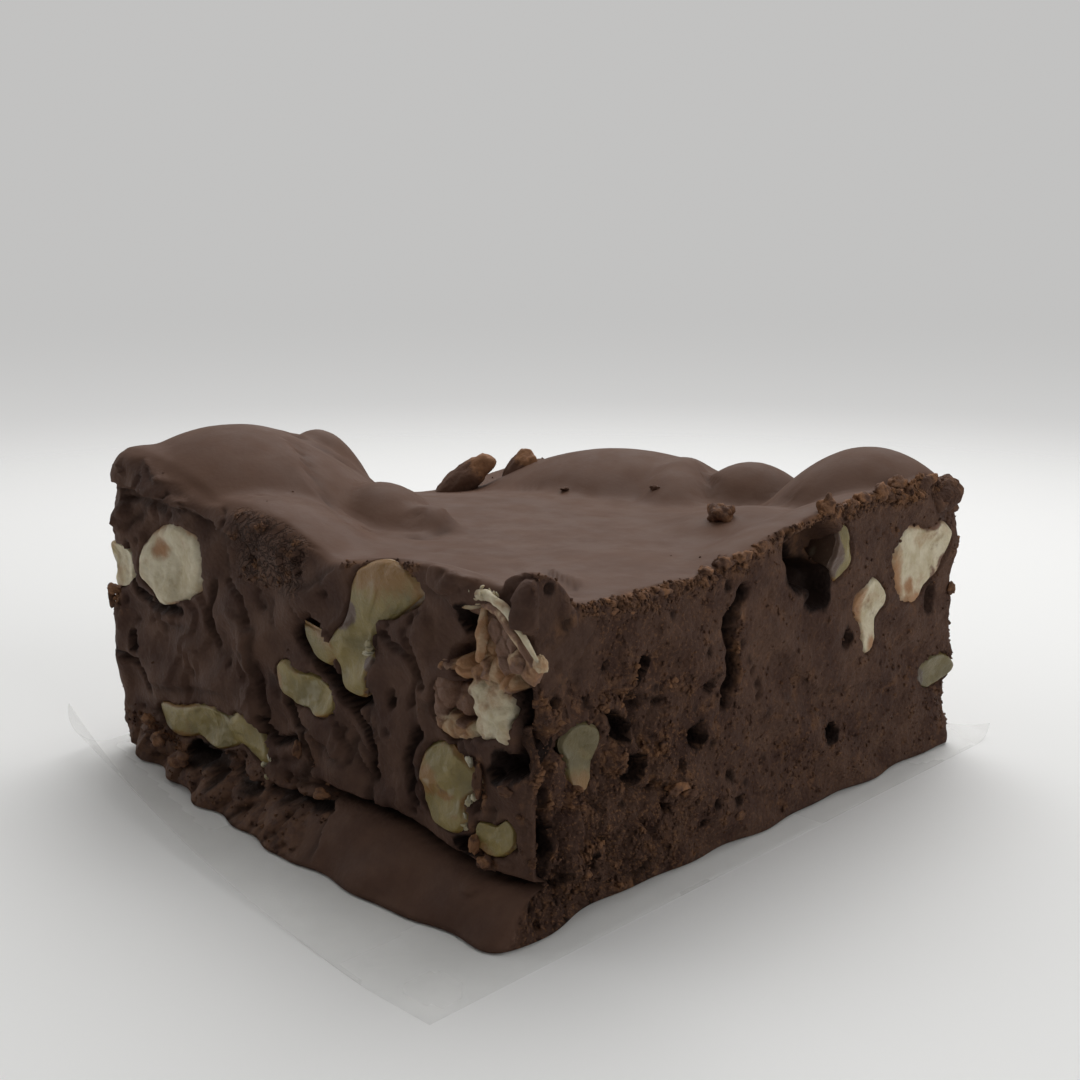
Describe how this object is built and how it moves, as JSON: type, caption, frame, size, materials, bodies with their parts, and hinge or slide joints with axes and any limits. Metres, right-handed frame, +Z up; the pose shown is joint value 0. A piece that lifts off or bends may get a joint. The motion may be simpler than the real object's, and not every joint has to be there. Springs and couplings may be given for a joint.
{
  "type": "chocolate fudge slab",
  "caption": "Square slab of dark chocolate fudge with a wavy top and cut sides that show walnut and marshmallow pieces, lying on a slip of wax paper.",
  "frame": {"origin": "on the underside of the wax paper, under the middle of the slab", "axes": "+Z up; the slab's smooth cut side with the flared foot faces -Y, and its crumbly cut side faces +X"},
  "size_m": [0.0816, 0.0986, 0.0412],
  "materials": {
    "fudge": "soft, slightly greasy satin; crumbly where it is cut",
    "walnut": "waxy cut nut with brown skin at its rim",
    "marshmallow": "matt, soft, cream white",
    "wax_paper": "thin translucent wax paper"
  },
  "bodies": {
    "root": {"fudge": "fudge", "walnut_east_far": "walnut", "walnut_east_front": "walnut", "walnut_east_hollow": "walnut", "walnut_north_middle": "walnut", "walnut_north_upper": "walnut", "walnut_south_corner": "walnut", "walnut_south_long": "walnut", "walnut_south_lower": "walnut", "walnut_south_small": "walnut", "walnut_south_upper": "walnut", "walnut_west_lower": "walnut", "walnut_west_upper": "walnut", "marshmallow_east_drop": "marshmallow", "marshmallow_east_upper": "marshmallow", "marshmallow_north_lower": "marshmallow", "marshmallow_north_upper": "marshmallow", "marshmallow_south_corner": "marshmallow", "marshmallow_south_edge": "marshmallow", "marshmallow_south_left": "marshmallow", "marshmallow_west_lower": "marshmallow", "marshmallow_west_upper": "marshmallow", "wax_paper": "wax_paper"}
  },
  "joints": []
}
